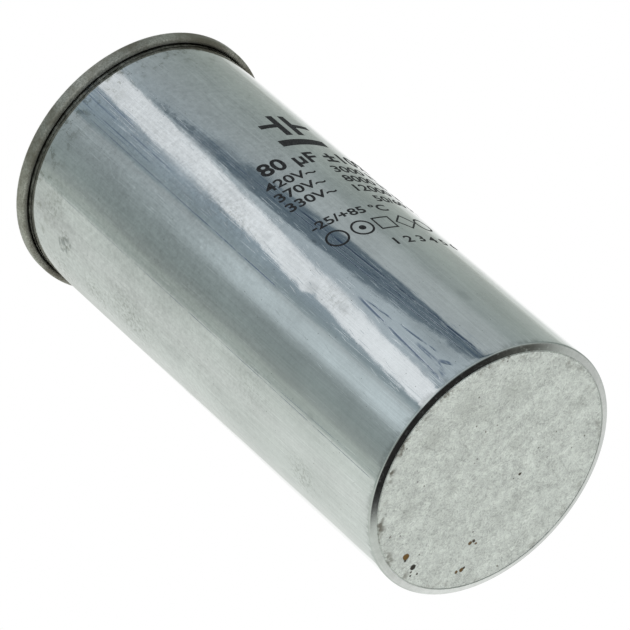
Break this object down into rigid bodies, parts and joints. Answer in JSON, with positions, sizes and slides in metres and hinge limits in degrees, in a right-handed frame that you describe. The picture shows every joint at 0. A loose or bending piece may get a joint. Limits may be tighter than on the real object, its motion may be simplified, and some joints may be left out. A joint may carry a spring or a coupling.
{
  "type": "motor run capacitor",
  "caption": "Round drawn aluminium can with a rolled rim and paired push-on blade terminals; helps a single phase motor to run.",
  "frame": {"origin": "centre of the flat base face that the can stands on", "axes": "+Z along the can's axis from the closed base to the terminals, +X from the left terminal to the right one, the printed side faces -Y"},
  "size_m": [0.0632, 0.0632, 0.1367],
  "materials": {
    "can_metal": "drawn aluminium, satin wall with axial draw marks, frosted base face",
    "tinplate": "tinplate, rolled rim with brown stains",
    "compound": "dried sealing compound",
    "liner_board": "pressed board",
    "holder_plastic": "moulded, matt",
    "core_plastic": "moulded, matt",
    "film": "metallised film, grey sheen",
    "wrap_film": "clear yellowish film",
    "sprayed_metal": "sprayed zinc, rough and matt",
    "plate_board": "brown laminated board",
    "solder": "bright solder",
    "tab_metal": "tinned brass, satin",
    "rivet_metal": "plated steel",
    "insulator_plastic": "black moulded plastic",
    "seal_rubber": "soft rubber",
    "pin_metal": "drawn brass",
    "wire_metal": "tinned copper",
    "sleeve_plastic": "red plastic sleeve",
    "print_ink": "thin black printing ink on the can"
  },
  "bodies": {
    "root": {"can": "can_metal", "cover": "tinplate", "seam_compound": "compound", "can_liner": "liner_board", "bottom_holder": "holder_plastic", "core_tube": "core_plastic", "winding": "film", "winding_wrap": "wrap_film", "bottom_spray": "sprayed_metal", "top_spray": "sprayed_metal", "top_holder": "holder_plastic", "interrupter_plate": "plate_board", "bottom_solder_joint": "solder", "top_solder_joint": "solder", "left_tabs": "tab_metal", "right_tabs": "tab_metal", "left_rivet": "rivet_metal", "right_rivet": "rivet_metal", "left_outer_insulator": "insulator_plastic", "right_outer_insulator": "insulator_plastic", "left_seal": "seal_rubber", "right_seal": "seal_rubber", "left_inner_insulator": "insulator_plastic", "right_inner_insulator": "insulator_plastic", "left_washer": "rivet_metal", "right_washer": "rivet_metal", "left_break_pin": "pin_metal", "right_break_pin": "pin_metal", "left_lead_wire": "wire_metal", "right_lead_wire": "wire_metal", "left_lead_sleeve": "sleeve_plastic", "right_lead_sleeve": "sleeve_plastic"}
  },
  "joints": []
}
